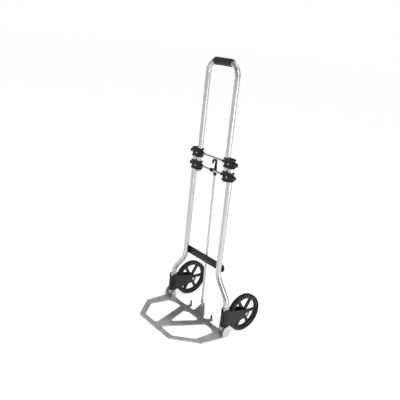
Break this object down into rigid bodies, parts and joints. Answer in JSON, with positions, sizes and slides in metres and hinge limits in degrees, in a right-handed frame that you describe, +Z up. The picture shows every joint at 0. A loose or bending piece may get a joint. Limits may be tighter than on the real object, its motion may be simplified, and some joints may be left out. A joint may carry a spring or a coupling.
{
  "type": "hand truck",
  "caption": "Folding aluminium sack truck with a telescoping handle, a hinged open toe plate and swing-in wheels.",
  "frame": {"origin": "underside of the toe plate's rear bar, midway between the tubes and under their axes", "axes": "+X to the user's right seen from the front, -Y forward over the toe plate, +Z up the tubes"},
  "size_m": [0.394, 0.371, 1.0135],
  "materials": {
    "satin_tube": "satin anodised tube",
    "cast_plate": "grey coated casting",
    "cast_fitting": "bright die casting",
    "bright_steel": "zinc plated",
    "black_plastic": "moulded, fine texture",
    "black_strap": "black coated strip",
    "grip": "soft ribbed sleeve",
    "tyre": "solid rubber",
    "cord": "braided elastic cord"
  },
  "bodies": {
    "frame": {"left_lower_tube": "satin_tube", "right_lower_tube": "satin_tube", "crossbar": "black_strap", "crossbar_rivets": "bright_steel", "left_upper_clamp": "black_plastic", "right_upper_clamp": "black_plastic", "upper_clamp_screws": "bright_steel", "upper_cross_rod": "bright_steel", "left_end_fitting": "cast_fitting", "right_end_fitting": "cast_fitting", "left_stop_collar": "cast_fitting", "right_stop_collar": "cast_fitting", "elastic_cord": "cord", "cord_tail": "cord"},
    "handle": {"handle_tube": "satin_tube", "handle_grip": "grip", "handle_end_plugs": "black_plastic", "left_lower_clamp": "black_plastic", "right_lower_clamp": "black_plastic", "lower_clamp_screws": "bright_steel", "left_clamp_cap": "black_plastic", "right_clamp_cap": "black_plastic", "lower_cross_rod": "bright_steel", "cord_hook": "black_plastic"},
    "toe_plate": {"toe_plate": "cast_plate", "left_hinge_pin": "bright_steel", "right_hinge_pin": "bright_steel", "left_plate_pegs": "bright_steel", "right_plate_pegs": "bright_steel", "lug_eyelet": "bright_steel", "cord_terminal": "bright_steel"},
    "left_lock": {"left_lock_plunger": "black_plastic"},
    "right_lock": {"right_lock_plunger": "black_plastic"},
    "left_fork": {"left_wheel_fork": "black_plastic", "left_fork_pegs": "bright_steel", "left_axle_bolt": "bright_steel", "left_axle_nut": "bright_steel"},
    "right_fork": {"right_wheel_fork": "black_plastic", "right_fork_pegs": "bright_steel", "right_axle_bolt": "bright_steel", "right_axle_nut": "bright_steel"},
    "left_wheel": {"left_wheel_rim": "black_plastic", "left_wheel_bush": "black_plastic", "left_tyre": "tyre"},
    "right_wheel": {"right_wheel_rim": "black_plastic", "right_wheel_bush": "black_plastic", "right_tyre": "tyre"}
  },
  "joints": [
    {"name": "handle_slide", "type": "slide", "parent": "frame", "child": "handle", "axis": [0, 0, 1], "range_m": [-0.28, 0], "deforming": ["elastic_cord"]},
    {"name": "toe_fold", "type": "hinge", "parent": "frame", "child": "toe_plate", "pos_m": [0, 0, 0.023], "axis": [-1, 0, 0], "range_deg": [0, 90], "deforming": ["cord_tail"]},
    {"name": "left_fork_swivel", "type": "hinge", "parent": "frame", "child": "left_fork", "pos_m": [-0.172, 0, 0.075], "axis": [0, 0, -1], "range_deg": [0, 90]},
    {"name": "right_fork_swivel", "type": "hinge", "parent": "frame", "child": "right_fork", "pos_m": [0.172, 0, 0.075], "axis": [0, 0, 1], "range_deg": [0, 90]},
    {"name": "left_wheel_spin", "type": "hinge", "parent": "left_fork", "child": "left_wheel", "pos_m": [-0.172, 0.093, 0.075], "axis": [1, 0, 0], "continuous": true},
    {"name": "right_wheel_spin", "type": "hinge", "parent": "right_fork", "child": "right_wheel", "pos_m": [0.172, 0.093, 0.075], "axis": [1, 0, 0], "continuous": true},
    {"name": "left_lock_pull", "type": "slide", "parent": "frame", "child": "left_lock", "axis": [-1, 0, 0], "range_m": [0, 0.006], "stiffness_N_per_m": 500, "springref_m": -0.004},
    {"name": "right_lock_pull", "type": "slide", "parent": "frame", "child": "right_lock", "axis": [1, 0, 0], "range_m": [0, 0.006], "stiffness_N_per_m": 500, "springref_m": -0.004}
  ],
  "couplings": [
    {"joint": "left_fork_swivel", "follows": "toe_fold", "ratio": 1},
    {"joint": "right_fork_swivel", "follows": "toe_fold", "ratio": 1}
  ]
}
